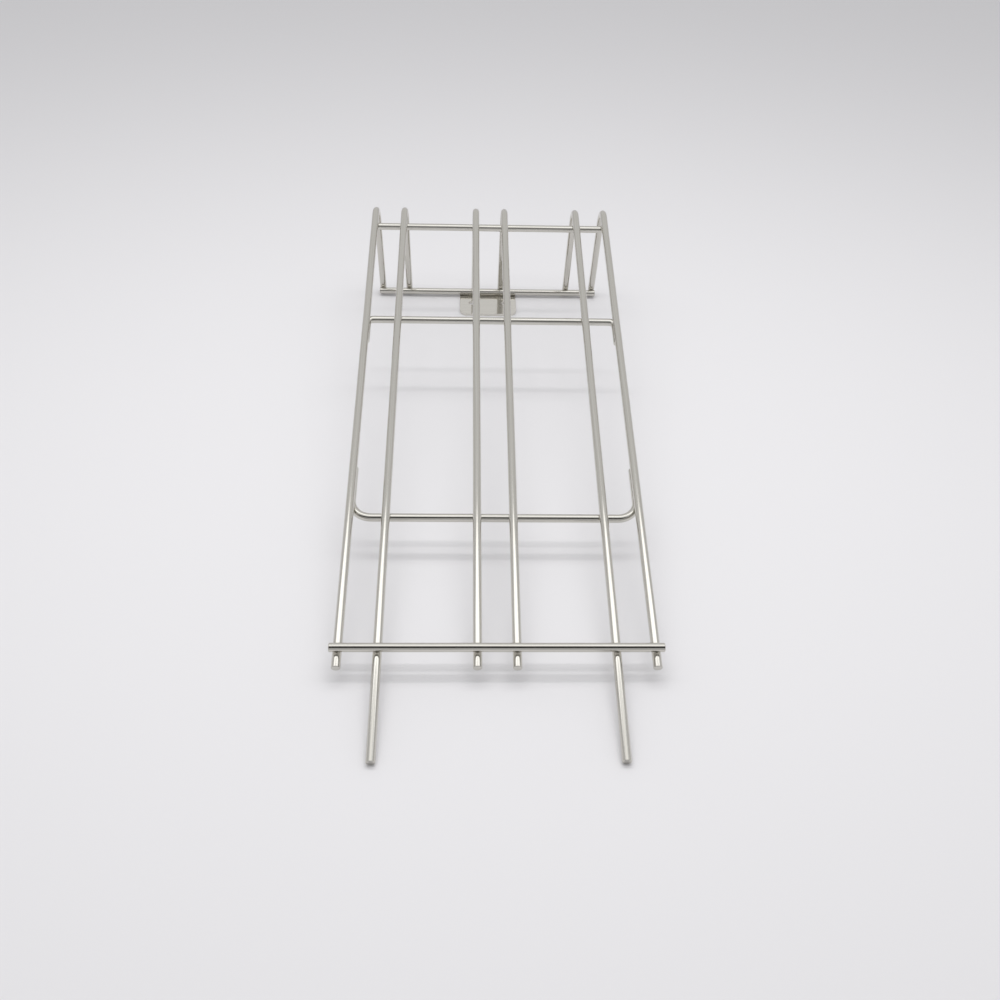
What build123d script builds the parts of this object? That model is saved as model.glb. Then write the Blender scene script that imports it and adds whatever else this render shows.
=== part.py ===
from build123d import *

import os
from math import cos, radians, sin

# A rack of welded round wire that fastens to a wall with two screws.
#
# The wall is the plane z = 0. The origin is midway between the two screw holes, on the
# plate's wall face. +X runs along the cross bars, +Y towards the bends, +Z off the wall.
# Six long wires climb away from the wall at a shallow slope, turn a square bend and come
# straight back to the wall as back legs. Two of them also run on past the front bar and
# rest on the wall with their tips. Bars and hoops tie the six wires together.

# ---- Driving sizes, in millimetres and degrees ----

wire_diameter = 5.0
end_chamfer = 0.5              # on every cut end of wire
weld_sink = 0.35               # how far two crossing wires are pressed into each other
weld_bead = 2.1                # radius of the flash round each crossing

slope = 11.0                   # long wires, above the wall plane
outer_wire_spacing = 170.0     # centre to centre, left outer wire to right outer wire
pair_pitch = 21.2              # centre to centre, the two wires of any pair
bend_radius = 12.5             # centreline of the rear bends
back_leg_wall_gap = 1.0        # under the cut end of each back leg

tip_to_front_bar = 61.6        # stations along a leg wire, one after another from its tip
front_bar_to_front_hoop = 90.0
front_hoop_to_rear_hoop = 165.4
rear_hoop_to_top_bar = 98.3
top_bar_to_bend = 8.3
front_stub = 10.0              # the four short wires run this far past the front bar

front_bar_overhang = 1.5       # past the outer wires, at each end
top_bar_inset = 0.5            # short of the outer wires' far sides, at each end
base_bar_overhang = 0.1

hoop_inset = 0.2               # hoop legs sit this far inside the outer wires' centres
front_hoop_leg = 36.5          # cross piece to leg end
front_hoop_corner = 12.0       # centreline radius
rear_hoop_leg = 20.7
rear_hoop_corner = 4.0
leg_weld_length = 9.0          # run of weld at the end of each hoop leg
leg_weld_bead = 1.6

plate_width = 45.0
plate_thickness = 2.0
plate_corner = 6.0             # the two free corners
plate_edge_break = 0.3
hole_to_free_edge = 16.0
hole_to_base_bar = 13.5
plate_behind_bar = 2.0         # base bar's centre to the plate's rear edge
screw_hole_spacing = 26.0
screw_hole_diameter = 4.5
plate_weld_length = 6.0        # one short run at each end of the plate
plate_weld_bead = 1.4

# ---- Worked out from them ----

wire_radius = wire_diameter / 2
cross_drop = wire_diameter - weld_sink     # between the centres of two wires that cross
rise = sin(radians(slope))
run = cos(radians(slope))

front_bar_at = tip_to_front_bar
front_hoop_at = front_bar_at + front_bar_to_front_hoop
rear_hoop_at = front_hoop_at + front_hoop_to_rear_hoop
top_bar_at = rear_hoop_at + rear_hoop_to_top_bar
corner_at = top_bar_at + top_bar_to_bend + bend_radius

outer_x = outer_wire_spacing / 2
leg_x = outer_x - pair_pitch
inner_x = pair_pitch / 2
hoop_x = outer_x - hoop_inset

base_bar_y = hole_to_base_bar
base_bar_z = plate_thickness + wire_radius - weld_sink

# The tip of a leg wire just reaches the wall with the lowest point of its cut end.
tip_z = wire_radius * run - end_chamfer * rise

# Each back leg passes behind the base bar, square to the long wires.
leg_at_bar_y = base_bar_y + cross_drop * run
leg_at_bar_z = base_bar_z + cross_drop * rise
leg_above_bar = (tip_z + corner_at * rise - leg_at_bar_z) / run
leg_below_bar = (leg_at_bar_z - back_leg_wall_gap - wire_radius * rise) / run
tip_y = leg_at_bar_y - leg_above_bar * rise - corner_at * run


def on_wires(x, station, above=0.0):
    """The point at a station along the long wires, and above their centres."""
    return Vector(
        x,
        tip_y + station * run - above * rise,
        tip_z + station * rise + above * run,
    )


def on_leg(x, below_bar, ahead=0.0):
    """The point on a back leg below the base bar's level, and ahead of its centre."""
    return Vector(
        x,
        leg_at_bar_y + below_bar * rise - ahead * run,
        leg_at_bar_z - below_bar * run - ahead * rise,
    )


def round_wire(path):
    """A round wire along a path, with both cut ends chamfered."""
    section = Plane(origin=path @ 0, z_dir=path % 0) * Circle(wire_radius)
    wire = sweep(section, path=path)
    cut_ends = wire.faces().filter_by(GeomType.PLANE)
    return chamfer(cut_ends.edges(), length=end_chamfer)


def cross_bar(half_length, centre):
    """A straight bar along X through a centre point."""
    reach = Vector(half_length, 0, 0)
    return round_wire(Line(centre - reach, centre + reach))


def long_wire(x, start):
    """A long wire from its front end, round the rear bend, down to the wall."""
    points = [on_wires(x, start), on_wires(x, corner_at), on_leg(x, leg_below_bar)]
    return round_wire(FilletPolyline(points, radius=bend_radius))


def hoop(cross_at, leg_end_at, corner):
    """A U of wire lying under the long wires, its two legs under the outer ones."""
    points = [
        on_wires(-hoop_x, leg_end_at, -cross_drop),
        on_wires(-hoop_x, cross_at, -cross_drop),
        on_wires(hoop_x, cross_at, -cross_drop),
        on_wires(hoop_x, leg_end_at, -cross_drop),
    ]
    return round_wire(FilletPolyline(points, radius=corner))


def seat(piece, others):
    """The piece with a shallow saddle wherever another one is pressed into it."""
    for other in others:
        piece = piece - other
    return piece


def flash(centre, joined):
    """The bead round one crossing: a ball, less the two wires that cross in it."""
    return seat(Pos(centre) * Sphere(weld_bead), joined)


def weld_run(centre, direction, length, bead, joined):
    """A straight bead along the crevice between two pieces."""
    rod = Plane(origin=centre, z_dir=direction) * Cylinder(bead, length)
    return seat(rod, joined)


def group(pieces):
    """Like pieces as the separate solids of one node."""
    solids = [solid for piece in pieces for solid in piece.solids()]
    return Compound(children=solids)


# ---- The six long wires ----
# The outer and inner ones stop just past the front bar. The leg wires run on to the wall.

short_start = front_bar_at - front_stub
long_wires = {
    "left_outer_wire": long_wire(-outer_x, short_start),
    "left_leg_wire": long_wire(-leg_x, 0),
    "left_inner_wire": long_wire(-inner_x, short_start),
    "right_inner_wire": long_wire(inner_x, short_start),
    "right_leg_wire": long_wire(leg_x, 0),
    "right_outer_wire": long_wire(outer_x, short_start),
}
all_wires = list(long_wires.values())
outer_wires = [long_wires["left_outer_wire"], long_wires["right_outer_wire"]]
wire_places = dict(zip([-outer_x, -leg_x, -inner_x, inner_x, leg_x, outer_x], all_wires))
between_places = {x: wire for x, wire in wire_places.items() if abs(x) < hoop_x}

# ---- Bars and hoops ----
# The front bar lies on top of the wires. The hoops and the top bar lie under them.

front_bar = seat(
    cross_bar(
        outer_x + wire_radius + front_bar_overhang,
        on_wires(0, front_bar_at, cross_drop),
    ),
    all_wires,
)
top_bar = seat(
    cross_bar(
        outer_x + wire_radius - top_bar_inset,
        on_wires(0, top_bar_at, -cross_drop),
    ),
    all_wires,
)
front_hoop = seat(
    hoop(front_hoop_at, front_hoop_at + front_hoop_leg, front_hoop_corner),
    all_wires,
)
rear_hoop = seat(
    hoop(rear_hoop_at, rear_hoop_at - rear_hoop_leg, rear_hoop_corner),
    all_wires,
)
base_bar = seat(
    cross_bar(
        outer_x + wire_radius + base_bar_overhang,
        Vector(0, base_bar_y, base_bar_z),
    ),
    all_wires,
)


# ---- Mounting plate ----
# A flat stamped plate under the base bar, with two plain screw holes beside each other.

def mounting_plate():
    rear_edge = base_bar_y + plate_behind_bar
    depth = hole_to_free_edge + rear_edge
    outline = Pos(0, rear_edge - depth / 2) * Rectangle(plate_width, depth)
    free_corners = outline.vertices().sort_by(Axis.Y)[:2]
    outline = fillet(free_corners, plate_corner)
    plate = extrude(outline, plate_thickness)
    top_edges = plate.faces().sort_by(Axis.Z)[-1].edges()
    plate = chamfer(top_edges, length=plate_edge_break)
    for x in (-screw_hole_spacing / 2, screw_hole_spacing / 2):
        hole = Pos(x, 0, plate_thickness / 2)
        plate = plate - hole * Cylinder(screw_hole_diameter / 2, 2 * plate_thickness)
    return seat(plate, [base_bar])


plate = mounting_plate()

# ---- Welds ----


def crossing_welds(station, side, places, bar):
    """Flash at each long wire that a cross piece touches, on its upper or under side."""
    return group(
        flash(on_wires(x, station, side * cross_drop / 2), [wire, bar])
        for x, wire in places.items()
    )


def hoop_leg_welds(leg_middle, bent_piece):
    """One run between each hoop leg and the outer wire it lies against."""
    beads = []
    for side, wire in zip((-1, 1), outer_wires):
        crevice = on_wires(side * (outer_x + hoop_x) / 2, leg_middle, -cross_drop / 2)
        direction = Vector(0, run, rise)
        beads.append(
            weld_run(crevice, direction, leg_weld_length, leg_weld_bead, [wire, bent_piece])
        )
    return group(beads)


def plate_welds():
    """A short run at each end of the plate, in front of the base bar."""
    beads = []
    for side in (-1, 1):
        end_x = side * (plate_width - plate_weld_length) / 2
        crevice = Vector(end_x, base_bar_y - plate_weld_bead, plate_thickness)
        beads.append(
            weld_run(crevice, Vector(1, 0, 0), plate_weld_length, plate_weld_bead,
                     [plate, base_bar])
        )
    return group(beads)


leg_weld_setback = end_chamfer + leg_weld_length / 2
front_leg_weld_at = front_hoop_at + front_hoop_leg - leg_weld_setback
rear_leg_weld_at = rear_hoop_at - rear_hoop_leg + leg_weld_setback

nodes = dict(long_wires)
nodes["front_bar"] = front_bar
nodes["front_hoop"] = front_hoop
nodes["rear_hoop"] = rear_hoop
nodes["top_bar"] = top_bar
nodes["base_bar"] = base_bar
nodes["mounting_plate"] = plate
nodes["front_bar_welds"] = crossing_welds(front_bar_at, 1, wire_places, front_bar)
nodes["front_hoop_welds"] = crossing_welds(front_hoop_at, -1, between_places, front_hoop)
nodes["front_hoop_leg_welds"] = hoop_leg_welds(front_leg_weld_at, front_hoop)
nodes["rear_hoop_welds"] = crossing_welds(rear_hoop_at, -1, between_places, rear_hoop)
nodes["rear_hoop_leg_welds"] = hoop_leg_welds(rear_leg_weld_at, rear_hoop)
nodes["top_bar_welds"] = crossing_welds(top_bar_at, -1, wire_places, top_bar)
nodes["base_bar_welds"] = group(
    flash(on_leg(x, 0, cross_drop / 2), [wire, base_bar])
    for x, wire in wire_places.items()
)
nodes["plate_welds"] = plate_welds()

os.makedirs("parts", exist_ok=True)
for name, solid in nodes.items():
    export_step(solid, f"parts/{name}.step")
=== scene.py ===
import math

import bpy
from mathutils import Matrix, Vector


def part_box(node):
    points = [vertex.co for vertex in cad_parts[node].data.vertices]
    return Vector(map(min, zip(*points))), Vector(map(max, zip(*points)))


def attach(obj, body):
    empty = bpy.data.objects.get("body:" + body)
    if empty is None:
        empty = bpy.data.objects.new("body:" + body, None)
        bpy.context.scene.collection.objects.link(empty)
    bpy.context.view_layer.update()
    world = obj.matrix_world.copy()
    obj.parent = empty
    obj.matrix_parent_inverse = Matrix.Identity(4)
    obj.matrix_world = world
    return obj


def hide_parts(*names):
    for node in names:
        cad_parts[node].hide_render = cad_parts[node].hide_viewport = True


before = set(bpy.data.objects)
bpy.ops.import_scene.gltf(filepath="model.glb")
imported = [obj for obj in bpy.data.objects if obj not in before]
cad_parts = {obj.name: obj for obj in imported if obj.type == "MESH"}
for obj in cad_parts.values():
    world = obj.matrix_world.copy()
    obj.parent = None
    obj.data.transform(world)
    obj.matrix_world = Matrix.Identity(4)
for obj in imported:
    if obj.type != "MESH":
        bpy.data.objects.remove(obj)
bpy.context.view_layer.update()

MM = 0.001

# ---- Long wires ----
# Six lengths of 5 mm bright-drawn stainless wire. Each is cut square, has its burr rubbed
# off, and is bent once round a mandrel, so that its rear end comes back to the wall.

wire_diameter = 5.0 * MM
weld_sink = 0.35 * MM            # how far two crossing wires are fused into each other
end_rounding = 0.45 * MM         # what the deburring wheel leaves on a cut end
bend_radius = 12.5 * MM
slope = math.radians(11.0)       # of the long wires, off the wall
stub_length = 10.0 * MM          # past the front bar, on the four short wires
leg_length = 61.6 * MM           # past the front bar, on the two leg wires

cross_drop = wire_diameter - weld_sink
rearward = Vector((0.0, math.cos(slope), math.sin(slope)))
outward = Vector((0.0, -math.sin(slope), math.cos(slope)))


def middle(node_name):
    """The centre of a node's box in the frame."""
    low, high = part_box(node_name)
    return (Vector(low) + Vector(high)) / 2


def crosswise(x):
    return Vector((x, 0.0, 0.0))


under_front_bar = middle("front_bar") - outward * cross_drop
behind_base_bar = middle("base_bar") + rearward * cross_drop
wire_run = (behind_base_bar - under_front_bar).dot(rearward)
wire_corner = under_front_bar + rearward * wire_run
lowest_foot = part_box("left_outer_wire")[0][2] + wire_diameter / 2 * math.sin(slope)
wire_foot = wire_corner - outward * ((wire_corner.z - lowest_foot) / math.cos(slope))


def linear(hex_colour):
    """An sRGB hex colour as the linear colour that a shader takes."""
    channels = [int(hex_colour[i:i + 2], 16) / 255 for i in (1, 3, 5)]
    return [c / 12.92 if c < 0.04045 else ((c + 0.055) / 1.055) ** 2.4 for c in channels] + [1.0]


def add(tree, kind, inputs=None, **settings):
    """Add a node, set its own properties, and set or link its inputs."""
    made = tree.nodes.new(kind)
    for name, value in settings.items():
        setattr(made, name, value)
    for key, value in (inputs or {}).items():
        if isinstance(value, bpy.types.NodeSocket):
            tree.links.new(value, made.inputs[key])
        else:
            made.inputs[key].default_value = value
    return made


def new_finish(name):
    """An empty material with a Principled shader on its output."""
    material = bpy.data.materials.new(name)
    material.use_nodes = True
    tree = material.node_tree
    tree.nodes.clear()
    shader = tree.nodes.new("ShaderNodeBsdfPrincipled")
    add(tree, "ShaderNodeOutputMaterial", {"Surface": shader.outputs["BSDF"]})
    return material, tree, shader


# Bright-drawn 304 stainless wire. The die leaves long fine lines along the wire, and a
# light polish leaves them glossy, so highlights run lengthwise with faint streaks in them.
def drawn_stainless_wire():
    material, tree, shader = new_finish("bright_drawn_stainless_wire")
    die_line = 0.35 * MM          # about 0.05 mm on the real wire, too fine to show
    line_length = 60.0 * MM
    grain = add(tree, "ShaderNodeAttribute", attribute_name="along_wire").outputs["Vector"]
    stretched = add(tree, "ShaderNodeMapping", {
        "Vector": grain,
        "Scale": (1 / die_line, 1 / die_line, 1 / line_length),
    })
    lines = add(tree, "ShaderNodeTexNoise", {
        "Vector": stretched.outputs["Vector"], "Scale": 1.0, "Detail": 3.0, "Roughness": 0.6,
    })
    smudge_width = 4 * MM
    smudge_length = 22 * MM
    handled = add(tree, "ShaderNodeMapping", {
        "Vector": grain,
        "Scale": (1 / smudge_width, 1 / smudge_width, 1 / smudge_length),
    })
    smudges = add(tree, "ShaderNodeTexNoise", {
        "Vector": handled.outputs["Vector"], "Scale": 1.0, "Detail": 2.0, "Roughness": 0.5,
    })
    tone = add(tree, "ShaderNodeValToRGB", {"Fac": lines.outputs["Fac"]})
    tone.color_ramp.elements[0].position = 0.3
    tone.color_ramp.elements[0].color = linear("#C9C6BE")
    tone.color_ramp.elements[1].position = 0.7
    tone.color_ramp.elements[1].color = linear("#D6D4CE")
    gloss = add(tree, "ShaderNodeMapRange", {
        "Value": smudges.outputs["Fac"], "From Min": 0.3, "From Max": 0.7,
        "To Min": 0.05, "To Max": 0.10,
    })
    streak = add(tree, "ShaderNodeMath", {
        0: lines.outputs["Fac"], 1: 0.06, 2: gloss.outputs["Result"],
    }, operation="MULTIPLY_ADD")
    relief = add(tree, "ShaderNodeBump", {
        "Height": lines.outputs["Fac"], "Strength": 0.15, "Distance": 0.01 * MM,
    })
    tree.links.new(tone.outputs["Color"], shader.inputs["Base Color"])
    tree.links.new(streak.outputs["Value"], shader.inputs["Roughness"])
    tree.links.new(relief.outputs["Normal"], shader.inputs["Normal"])
    shader.inputs["Metallic"].default_value = 1.0
    return material


wire_finish = drawn_stainless_wire()


def new_tree(name, **inputs):
    """An empty Geometry Nodes tree with named inputs, given as socket kinds."""
    tree = bpy.data.node_groups.new(name, "GeometryNodeTree")
    face = tree.interface
    face.new_socket(name="Geometry", in_out="INPUT", socket_type="NodeSocketGeometry")
    for label, kind in inputs.items():
        face.new_socket(name=label.replace("_", " "), in_out="INPUT", socket_type=kind)
    face.new_socket(name="Geometry", in_out="OUTPUT", socket_type="NodeSocketGeometry")
    return tree, tree.nodes.new("NodeGroupInput").outputs


def finish_tree(tree, geometry, material):
    """End a tree in Realize Instances, smooth shading and Set Material."""
    real = add(tree, "GeometryNodeRealizeInstances", {"Geometry": geometry})
    smooth = add(tree, "GeometryNodeSetShadeSmooth", {"Geometry": real.outputs["Geometry"]})
    painted = add(tree, "GeometryNodeSetMaterial", {
        "Geometry": smooth.outputs["Geometry"], "Material": material,
    })
    add(tree, "NodeGroupOutput", {"Geometry": painted.outputs["Geometry"]})


def bent_wire_tree():
    """A round wire along a polyline, with its corners bent to one radius."""
    tree, given = new_tree(
        "bent_wire",
        Wire_Diameter="NodeSocketFloat",
        Bend_Radius="NodeSocketFloat",
        Step="NodeSocketFloat",
        Sides="NodeSocketInt",
        Unevenness="NodeSocketFloat",
        Unevenness_Length="NodeSocketFloat",
        Finish="NodeSocketMaterial",
    )
    line = add(tree, "GeometryNodeMeshToCurve", {"Mesh": given["Geometry"]})
    bent = add(tree, "GeometryNodeFilletCurve", {
        "Curve": line.outputs["Curve"], "Radius": given["Bend Radius"], "Count": 24,
    }, mode="POLY")
    even = add(tree, "GeometryNodeResampleCurve", {
        "Curve": bent.outputs["Curve"], "Length": given["Step"],
    }, mode="LENGTH")
    place = add(tree, "GeometryNodeInputPosition").outputs["Position"]
    waves = add(tree, "ShaderNodeVectorMath", {
        0: place, "Scale": add(tree, "ShaderNodeMath", {
            0: 1.0, 1: given["Unevenness Length"],
        }, operation="DIVIDE").outputs["Value"],
    }, operation="SCALE")
    noise = add(tree, "ShaderNodeTexNoise", {
        "Vector": waves.outputs["Vector"], "Scale": 1.0, "Detail": 1.0,
    })
    centred = add(tree, "ShaderNodeVectorMath", {
        0: noise.outputs["Color"], 1: (0.5, 0.5, 0.5),
    }, operation="SUBTRACT")
    shift = add(tree, "ShaderNodeVectorMath", {
        0: centred.outputs["Vector"], "Scale": given["Unevenness"],
    }, operation="SCALE")
    real_line = add(tree, "GeometryNodeSetPosition", {
        "Geometry": even.outputs["Curve"], "Offset": shift.outputs["Vector"],
    })
    along = add(tree, "GeometryNodeCaptureAttribute", {
        "Geometry": real_line.outputs["Geometry"],
    }, domain="POINT")
    along.capture_items.new("FLOAT", "Length")
    tree.links.new(add(tree, "GeometryNodeSplineParameter").outputs["Length"],
                   along.inputs["Length"])
    half = add(tree, "ShaderNodeMath", {0: given["Wire Diameter"], 1: 2.0}, operation="DIVIDE")
    ring = add(tree, "GeometryNodeCurvePrimitiveCircle", {
        "Resolution": given["Sides"], "Radius": half.outputs["Value"],
    }, mode="RADIUS")
    around = add(tree, "GeometryNodeCaptureAttribute", {
        "Geometry": ring.outputs["Curve"],
    }, domain="POINT")
    around.capture_items.new("VECTOR", "Around")
    tree.links.new(add(tree, "GeometryNodeInputPosition").outputs["Position"],
                   around.inputs["Around"])
    tube = add(tree, "GeometryNodeCurveToMesh", {
        "Curve": along.outputs["Geometry"],
        "Profile Curve": around.outputs["Geometry"],
        "Fill Caps": True,
    })
    section = add(tree, "ShaderNodeSeparateXYZ", {0: around.outputs["Around"]})
    grain = add(tree, "ShaderNodeCombineXYZ", {
        0: section.outputs[0], 1: section.outputs[1], 2: along.outputs["Length"],
    })
    stored = add(tree, "GeometryNodeStoreNamedAttribute", {
        "Geometry": tube.outputs["Mesh"], "Name": "along_wire", "Value": grain.outputs[0],
    }, data_type="FLOAT_VECTOR", domain="POINT")
    finish_tree(tree, stored.outputs["Geometry"], given["Finish"])
    return tree


bent_wire = bent_wire_tree()


def polyline(name, lines):
    """An object whose mesh is a few open lines of points."""
    points = [point for line in lines for point in line]
    edges = []
    first = 0
    for line in lines:
        edges += [(first + i, first + i + 1) for i in range(len(line) - 1)]
        first += len(line)
    mesh = bpy.data.meshes.new(name)
    mesh.from_pydata(points, edges, [])
    piece = bpy.data.objects.new(name, mesh)
    bpy.context.collection.objects.link(piece)
    return piece


def grow(piece, tree, rounding=0.0, **inputs):
    """Run a tree on a piece, round its sharp edges, and keep the result as a plain mesh."""
    modifier = piece.modifiers.new("grow", "NODES")
    modifier.node_group = tree
    sockets = {item.name: item.identifier for item in tree.interface.items_tree
               if item.in_out == "INPUT"}
    for label, value in inputs.items():
        modifier[sockets[label.replace("_", " ")]] = value
    if rounding:
        edge = piece.modifiers.new("deburr", "BEVEL")
        edge.width = rounding
        edge.segments = 3
        edge.limit_method = "ANGLE"
        edge.angle_limit = math.radians(60)
        edge.harden_normals = True
    seen = piece.evaluated_get(bpy.context.evaluated_depsgraph_get())
    mesh = bpy.data.meshes.new_from_object(seen)
    piece.modifiers.clear()
    piece.data = mesh


wire_sides = 32
wire_step = 1.5 * MM
unevenness = 0.2 * MM            # full width of the wander of a bent wire off true
unevenness_length = 70 * MM


def stainless_wire(name, path, radius=bend_radius):
    """One length of wire in place of the CAD node of the same name."""
    piece = polyline(name + "_drawn", [path])
    grow(
        piece, bent_wire, rounding=end_rounding,
        Wire_Diameter=wire_diameter, Bend_Radius=radius, Step=wire_step, Sides=wire_sides,
        Unevenness=unevenness, Unevenness_Length=unevenness_length, Finish=wire_finish,
    )
    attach(piece, "root")
    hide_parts(name)


long_wires = {
    "left_outer_wire": stub_length,
    "left_leg_wire": leg_length,
    "left_inner_wire": stub_length,
    "right_inner_wire": stub_length,
    "right_leg_wire": leg_length,
    "right_outer_wire": stub_length,
}
for wire_name, front_length in long_wires.items():
    side = crosswise(middle(wire_name).x)
    stainless_wire(wire_name, [
        side + under_front_bar - rearward * front_length,
        side + wire_corner,
        side + wire_foot,
    ])

# ---- Straight bars ----
# Offcuts of the same wire, laid across the long wires and resistance welded to each one.
# The front bar lies on top of the wires, the top bar under them, the base bar ahead of
# the back legs.

for bar_name in ("front_bar", "top_bar", "base_bar"):
    low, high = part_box(bar_name)
    centre = middle(bar_name)
    stainless_wire(bar_name, [
        Vector((low[0], centre.y, centre.z)),
        Vector((high[0], centre.y, centre.z)),
    ])

# ---- Hoops ----
# Two pieces of the same wire, each bent twice. They lie under the long wires, and their
# legs are welded along the undersides of the two outer wires.

hoop_corner = {"front_hoop": 12.0 * MM, "rear_hoop": 4.0 * MM}
hoop_leg = {"front_hoop": 36.5 * MM, "rear_hoop": -20.7 * MM}
half_wire = wire_diameter / 2


def hoop_cross_centre(name):
    """The middle of a hoop's cross piece, on the lower or upper end of its box."""
    low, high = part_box(name)
    leans_up = hoop_leg[name] > 0
    y = low[1] + half_wire if leans_up else high[1] - half_wire
    z = low[2] + half_wire if leans_up else high[2] - half_wire
    return Vector((0.0, y, z))


for hoop_name, leg in hoop_leg.items():
    cross = hoop_cross_centre(hoop_name)
    reach = crosswise(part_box(hoop_name)[1][0] - half_wire)
    leg_end = rearward * leg
    stainless_wire(hoop_name, [
        cross - reach + leg_end, cross - reach, cross + reach, cross + reach + leg_end,
    ], radius=hoop_corner[hoop_name])

# ---- Mounting plate ----
# A tab stamped from 2 mm stainless sheet, polished, with two plain screw holes and its two
# free corners rounded. Its rear edge runs under the base bar.

plate_corner = 6.0 * MM
hole_radius = 2.25 * MM
hole_spacing = 26.0 * MM
edge_break = 0.25 * MM           # rounding of the stamped edges
hole_sides = 48
corner_steps = 16


# Polished 304 sheet, stamped. The belt leaves very fine lines across the tab, and the
# gloss is a mirror that is only slightly clouded.
def polished_stamped_sheet():
    material, tree, shader = new_finish("polished_stamped_sheet")
    belt_line = 0.3 * MM
    belt_line_length = 30 * MM
    cloud = 9 * MM
    place = add(tree, "ShaderNodeTexCoord").outputs["Object"]
    stretched = add(tree, "ShaderNodeMapping", {
        "Vector": place, "Scale": (1 / belt_line_length, 1 / belt_line, 1 / belt_line),
    })
    lines = add(tree, "ShaderNodeTexNoise", {
        "Vector": stretched.outputs["Vector"], "Scale": 1.0, "Detail": 3.0,
    })
    clouds = add(tree, "ShaderNodeTexNoise", {
        "Vector": place, "Scale": 1 / cloud, "Detail": 2.0,
    })
    tone = add(tree, "ShaderNodeValToRGB", {"Fac": lines.outputs["Fac"]})
    tone.color_ramp.elements[0].position = 0.3
    tone.color_ramp.elements[0].color = linear("#DAD7CF")
    tone.color_ramp.elements[1].position = 0.7
    tone.color_ramp.elements[1].color = linear("#E2DFD8")
    gloss = add(tree, "ShaderNodeMapRange", {
        "Value": clouds.outputs["Fac"], "From Min": 0.3, "From Max": 0.7,
        "To Min": 0.09, "To Max": 0.15,
    })
    relief = add(tree, "ShaderNodeBump", {
        "Height": lines.outputs["Fac"], "Strength": 0.1, "Distance": 0.01 * MM,
    })
    tree.links.new(tone.outputs["Color"], shader.inputs["Base Color"])
    tree.links.new(gloss.outputs["Result"], shader.inputs["Roughness"])
    tree.links.new(relief.outputs["Normal"], shader.inputs["Normal"])
    shader.inputs["Metallic"].default_value = 1.0
    return material


def arc(centre, radius, first, last, steps):
    """Points along an arc, in degrees, both ends included."""
    angles = [math.radians(first + (last - first) * i / steps) for i in range(steps + 1)]
    return [centre + Vector((math.cos(a), math.sin(a))) * radius for a in angles]


def closed_spline(curve, points):
    """Add a closed polygon to a flat curve."""
    spline = curve.splines.new("POLY")
    spline.points.add(len(points) - 1)
    for place, point in zip(spline.points, points):
        place.co = (point.x, point.y, 0.0, 1.0)
    spline.use_cyclic_u = True


def stamped_tab(name, node_name):
    """A flat tab with two round holes and two round corners, filling a node's box."""
    low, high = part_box(node_name)
    drawing = bpy.data.curves.new(name, "CURVE")
    drawing.dimensions = "2D"
    drawing.fill_mode = "BOTH"
    drawing.extrude = (high[2] - low[2]) / 2 - edge_break
    drawing.bevel_depth = edge_break
    drawing.bevel_resolution = 2
    drawing.offset = -edge_break
    left = Vector((low[0] + plate_corner, low[1] + plate_corner))
    right = Vector((high[0] - plate_corner, low[1] + plate_corner))
    outline = arc(left, plate_corner, 180, 270, corner_steps)
    outline += arc(right, plate_corner, 270, 360, corner_steps)
    closed_spline(drawing, outline + [Vector((high[0], high[1])), Vector((low[0], high[1]))])
    for side in (-1, 1):
        hole = Vector((side * hole_spacing / 2, 0.0))
        closed_spline(drawing, arc(hole, hole_radius, 360, 360 / hole_sides, hole_sides - 1))
    shape = bpy.data.objects.new(name, drawing)
    bpy.context.collection.objects.link(shape)
    mesh = bpy.data.meshes.new_from_object(
        shape.evaluated_get(bpy.context.evaluated_depsgraph_get()))
    bpy.data.objects.remove(shape)
    mesh.transform(Matrix.Translation((0.0, 0.0, (low[2] + high[2]) / 2)))
    tab = bpy.data.objects.new(name, mesh)
    bpy.context.collection.objects.link(tab)
    return tab


tab = stamped_tab("mounting_tab", "mounting_plate")
tab.data.materials.clear()
tab.data.materials.append(polished_stamped_sheet())
tab.data.polygons.foreach_set("use_smooth", [True] * len(tab.data.polygons))
sharp_angle = math.radians(35)
tab.data.set_sharp_from_angle(angle=sharp_angle)
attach(tab, "root")
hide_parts("mounting_plate")

# ---- Welds where wires cross ----
# Each crossing is fused by resistance welding. The squeezed metal stands out as a small
# lumpy collar in the corners between the two wires, cleaned but not ground.

collar_radius = 2.1 * MM
collar_height = 0.75 * MM
lump_depth = 0.18 * MM
lump_length = 1.1 * MM


# Pickled weld metal, greyer and duller than the polished wire, with a fine frost. Its colour is
# also made darker than the weld metal's own grey, as painted shade for the dark crevices the beads
# sit in.
def pickled_weld():
    material, tree, shader = new_finish("pickled_weld_metal_with_painted_shade")
    frost_grain = 0.8 * MM
    place = add(tree, "ShaderNodeTexCoord").outputs["Object"]
    frost = add(tree, "ShaderNodeTexNoise", {
        "Vector": place, "Scale": 1 / frost_grain, "Detail": 3.0,
    })
    # Both ends of this ramp are darker than the metal's own tone: painted shade for the crevices
    # round the welds.
    tone = add(tree, "ShaderNodeValToRGB", {"Fac": frost.outputs["Fac"]})
    tone.color_ramp.elements[0].position = 0.3
    tone.color_ramp.elements[0].color = linear("#625C53")
    tone.color_ramp.elements[1].position = 0.7
    tone.color_ramp.elements[1].color = linear("#959086")
    gloss = add(tree, "ShaderNodeMapRange", {
        "Value": frost.outputs["Fac"], "From Min": 0.3, "From Max": 0.7,
        "To Min": 0.28, "To Max": 0.42,
    })
    relief = add(tree, "ShaderNodeBump", {
        "Height": frost.outputs["Fac"], "Strength": 0.4, "Distance": 0.05 * MM,
    })
    tree.links.new(tone.outputs["Color"], shader.inputs["Base Color"])
    tree.links.new(gloss.outputs["Result"], shader.inputs["Roughness"])
    tree.links.new(relief.outputs["Normal"], shader.inputs["Normal"])
    shader.inputs["Metallic"].default_value = 1.0
    return material


weld_finish = pickled_weld()


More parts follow.
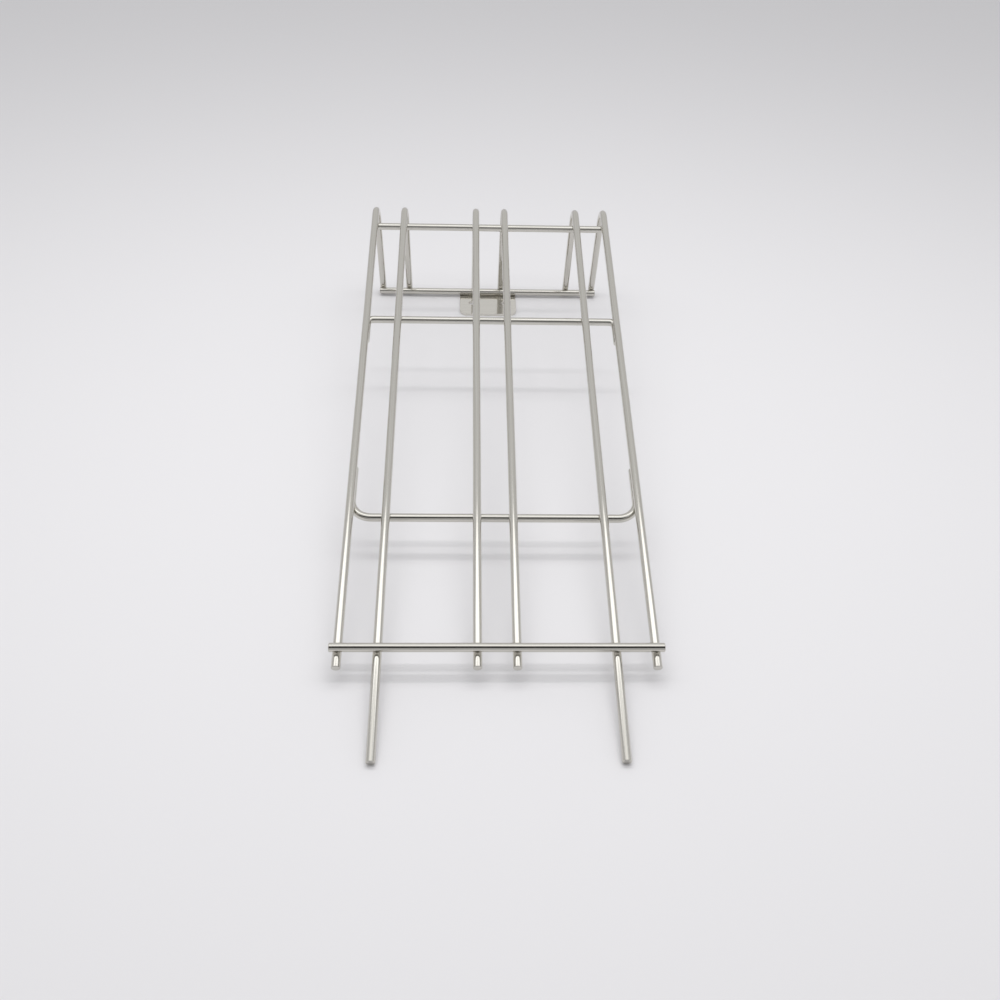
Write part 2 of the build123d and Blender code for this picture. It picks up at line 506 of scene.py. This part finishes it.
def bead_tree():
    """Lumpy flattened beads, one on each point, all turned the same way."""
    tree, given = new_tree(
        "weld_beads",
        Size="NodeSocketVector",
        Tilt="NodeSocketVector",
        Lump="NodeSocketFloat",
        Lump_Length="NodeSocketFloat",
        Seed="NodeSocketInt",
        Finish="NodeSocketMaterial",
    )
    ball = add(tree, "GeometryNodeMeshIcoSphere", {"Radius": 1.0, "Subdivisions": 4})
    vary = add(tree, "FunctionNodeRandomValue", {
        "Min": (0.94, 0.94, 0.9), "Max": (1.0, 1.0, 1.0), "Seed": given["Seed"],
    }, data_type="FLOAT_VECTOR")
    size = add(tree, "ShaderNodeVectorMath", {
        0: vary.outputs["Value"], 1: given["Size"],
    }, operation="MULTIPLY")
    turn = add(tree, "FunctionNodeEulerToRotation", {"Euler": given["Tilt"]})
    placed = add(tree, "GeometryNodeInstanceOnPoints", {
        "Points": given["Geometry"],
        "Instance": ball.outputs["Mesh"],
        "Rotation": turn.outputs["Rotation"],
        "Scale": size.outputs["Vector"],
    })
    real = add(tree, "GeometryNodeRealizeInstances", {"Geometry": placed.outputs["Instances"]})
    place = add(tree, "GeometryNodeInputPosition").outputs["Position"]
    spread = add(tree, "ShaderNodeVectorMath", {
        0: place, "Scale": add(tree, "ShaderNodeMath", {
            0: 1.0, 1: given["Lump Length"],
        }, operation="DIVIDE").outputs["Value"],
    }, operation="SCALE")
    noise = add(tree, "ShaderNodeTexNoise", {
        "Vector": spread.outputs["Vector"], "Scale": 1.0, "Detail": 2.0,
    })
    inward = add(tree, "ShaderNodeMath", {
        0: noise.outputs["Fac"], 1: -1.0,
    }, operation="MULTIPLY")
    depth = add(tree, "ShaderNodeMath", {
        0: inward.outputs["Value"], 1: given["Lump"],
    }, operation="MULTIPLY")
    normal = add(tree, "GeometryNodeInputNormal").outputs["Normal"]
    shift = add(tree, "ShaderNodeVectorMath", {
        0: normal, "Scale": depth.outputs["Value"],
    }, operation="SCALE")
    lumpy = add(tree, "GeometryNodeSetPosition", {
        "Geometry": real.outputs["Geometry"], "Offset": shift.outputs["Vector"],
    })
    finish_tree(tree, lumpy.outputs["Geometry"], given["Finish"])
    return tree


beads = bead_tree()


def weld_beads(node_name, places, size, tilt=0.0, seed=1):
    """A group of weld beads in place of the CAD node of the same name."""
    mesh = bpy.data.meshes.new(node_name + "_beads")
    mesh.from_pydata(places, [], [])
    piece = bpy.data.objects.new(node_name + "_beads", mesh)
    bpy.context.collection.objects.link(piece)
    grow(
        piece, beads,
        Size=size, Tilt=(tilt, 0.0, 0.0), Lump=lump_depth, Lump_Length=lump_length,
        Seed=seed, Finish=weld_finish,
    )
    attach(piece, "root")
    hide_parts(node_name)


sides = {name: crosswise(middle(name).x) for name in long_wires}
between = [name for name in long_wires if "outer" not in name]
collar = (collar_radius, collar_radius, collar_height)


def station_of(point):
    """How far along the long wires a point is, from the front bar."""
    return (point - under_front_bar).dot(rearward)


def on_wires(side, station, above):
    return side + under_front_bar + rearward * station + outward * above


lying_collars = {
    "front_bar_welds": (0.0, list(long_wires), 1),
    "front_hoop_welds": (station_of(hoop_cross_centre("front_hoop")), between, -1),
    "rear_hoop_welds": (station_of(hoop_cross_centre("rear_hoop")), between, -1),
    "top_bar_welds": (station_of(middle("top_bar")), list(long_wires), -1),
}
for seed, (node_name, (station, wires, face)) in enumerate(lying_collars.items()):
    places = [on_wires(sides[wire], station, face * cross_drop / 2) for wire in wires]
    weld_beads(node_name, places, collar, tilt=slope, seed=seed)

places = [side + middle("base_bar") + rearward * cross_drop / 2 for side in sides.values()]
weld_beads("base_bar_welds", places, collar, tilt=slope + math.pi / 2, seed=7)

# ---- Welds along the hoop legs and under the base bar ----
# Short runs laid by hand: one along each hoop leg, between it and the outer wire above it,
# and one at each end of the mounting plate, in the corner ahead of the base bar.

run_overlap = 1.5 * MM           # from one puddle to the next


def puddles(middle_point, direction, length):
    """Evenly spaced points for the overlapping puddles of one run."""
    count = round(length / run_overlap)
    return [middle_point + direction * ((i - count / 2) * run_overlap) for i in range(count + 1)]


leg_weld = (1.5 * MM, 1.15 * MM, 1.0 * MM)
leg_weld_run = 6.0 * MM
leg_weld_from_end = 5.0 * MM     # from the leg's end to the middle of its weld
for seed, hoop_name in enumerate(hoop_leg):
    station = station_of(hoop_cross_centre(hoop_name))
    end_side = math.copysign(1.0, hoop_leg[hoop_name])
    run_middle = station + hoop_leg[hoop_name] - end_side * leg_weld_from_end
    places = []
    for x in (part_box(hoop_name)[0][0] + half_wire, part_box(hoop_name)[1][0] - half_wire):
        crevice = on_wires(crosswise(x), run_middle, -cross_drop / 2)
        places += puddles(crevice, rearward, leg_weld_run)
    weld_beads(hoop_name + "_leg_welds", places, leg_weld, tilt=slope, seed=11 + seed)

plate_weld = (1.0 * MM, 1.3 * MM, 1.1 * MM)
plate_weld_run = 4.5 * MM
plate_weld_inset = 3.0 * MM      # from the node's end to the middle of its run
plate_weld_setback = 0.9 * MM     # puddle centres, ahead of the node's rear face
plate_weld_above = 0.25 * MM     # puddle centres, over the node's underside

low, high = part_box("plate_welds")
places = []
for x in (low[0] + plate_weld_inset, high[0] - plate_weld_inset):
    crevice = Vector((x, high[1] - plate_weld_setback, low[2] + plate_weld_above))
    places += puddles(crevice, Vector((1.0, 0.0, 0.0)), plate_weld_run)
weld_beads("plate_welds", places, plate_weld, seed=21)

# ---- Floor, lights and camera ----
# A white card on the bench. Two lamp tubes, a diffuser and softer panels hang above it, the
# room is pale, and a dark cloth hung above the camera shows only in the polish.

floor_mesh = bpy.data.meshes.new("floor")
half_floor = 4.0
floor_mesh.from_pydata(
    [(-half_floor, -half_floor, 0), (half_floor, -half_floor, 0),
     (half_floor, half_floor, 0), (-half_floor, half_floor, 0)], [], [(0, 1, 2, 3)])
floor = bpy.data.objects.new("floor", floor_mesh)
bpy.context.collection.objects.link(floor)
floor_finish, _, floor_shader = new_finish("matt_white_card")
floor_shader.inputs["Base Color"].default_value = linear("#E2E1E3")
floor_shader.inputs["Roughness"].default_value = 0.8
floor_mesh.materials.append(floor_finish)

world = bpy.data.worlds.new("pale_room")
world.use_nodes = True
bpy.context.scene.world = world
room = world.node_tree
room.nodes.clear()
direction = add(room, "ShaderNodeTexCoord").outputs["Generated"]
aim = add(room, "ShaderNodeSeparateXYZ", {0: direction}).outputs
walls = add(room, "ShaderNodeValToRGB", {"Fac": aim[2]})
walls.color_ramp.elements[0].position = 0.0
walls.color_ramp.elements[0].color = (0.55, 0.55, 0.555, 1.0)
walls.color_ramp.elements[1].position = 1.0
walls.color_ramp.elements[1].color = (0.86, 0.86, 0.86, 1.0)
for rising, tone in ((0.5, 0.60), (0.82, 0.64), (0.92, 0.73)):
    walls.color_ramp.elements.new(rising).color = (tone, tone, tone + 0.005, 1.0)
rear_room_gain = 0.22            # brighter behind the rack, and as much darker before it
backdrop = add(room, "ShaderNodeMath", {
    0: aim[1], 1: rear_room_gain, 2: 1.0,
}, operation="MULTIPLY_ADD")
room_light = add(room, "ShaderNodeBackground", {
    "Color": walls.outputs["Color"], "Strength": backdrop.outputs["Value"],
})
add(room, "ShaderNodeOutputWorld", {"Surface": room_light.outputs["Background"]})


def ceiling_light(name, y, height, power, length, width, in_polish=True):
    """A rectangular light facing down, which the polished steel may or may not mirror."""
    light = bpy.data.lights.new(name, "AREA")
    light.shape = "RECTANGLE"
    light.size = length
    light.size_y = width
    light.energy = power
    lamp = bpy.data.objects.new(name, light)
    lamp.location = (0.0, y, height)
    lamp.visible_camera = False
    lamp.visible_glossy = in_polish
    bpy.context.collection.objects.link(lamp)


ceiling_light("front_tube", -0.415, 0.80, 0.9, length=1.0, width=0.04, in_polish=False)
ceiling_light("rear_tube", -0.105, 0.80, 0.9, length=1.0, width=0.04, in_polish=False)
ceiling_light("diffuser", -0.055, 0.75, 0.95, length=1.4, width=0.21)
ceiling_light("panel", -0.285, 0.78, 0.27, length=1.0, width=0.25)
ceiling_light("soft_box", -0.200, 0.95, 1.35, length=0.7, width=0.50, in_polish=False)

cloth_width, cloth_length = 0.90, 0.45
cloth_mesh = bpy.data.meshes.new("dark_cloth")
cloth_mesh.from_pydata(
    [(-cloth_width / 2, -cloth_length / 2, 0), (cloth_width / 2, -cloth_length / 2, 0),
     (cloth_width / 2, cloth_length / 2, 0), (-cloth_width / 2, cloth_length / 2, 0)],
    [], [(0, 1, 2, 3)])
cloth = bpy.data.objects.new("dark_cloth", cloth_mesh)
bpy.context.collection.objects.link(cloth)
cloth_finish, _, cloth_shader = new_finish("black_cotton_cloth")
cloth_shader.inputs["Base Color"].default_value = linear("#262523")
cloth_shader.inputs["Roughness"].default_value = 1.0
cloth_mesh.materials.append(cloth_finish)
cloth.location = (-0.04, -0.705, 0.445)
cloth.visible_camera = False
cloth.visible_shadow = False
cloth.visible_diffuse = False

camera_data = bpy.data.cameras.new("camera")
camera_data.sensor_width = 36.0
camera_data.lens = 36.0
camera_place = (-0.018, -0.700, 0.4355)
camera = bpy.data.objects.new("camera", camera_data)
bpy.context.collection.objects.link(camera)
pitch, yaw, roll = math.radians(42.88), math.radians(2.78), math.radians(2.21)
gaze = Vector((math.sin(yaw) * math.cos(pitch), math.cos(yaw) * math.cos(pitch), -math.sin(pitch)))
level = Vector((math.cos(yaw), -math.sin(yaw), 0.0))
upright = level.cross(gaze)
right = level * math.cos(roll) + upright * math.sin(roll)
up = upright * math.cos(roll) - level * math.sin(roll)
turn = Matrix((right, up, -gaze)).transposed().to_4x4()
camera.matrix_world = Matrix.Translation(camera_place) @ turn
bpy.context.scene.camera = camera

bpy.context.scene.view_settings.view_transform = "Standard"
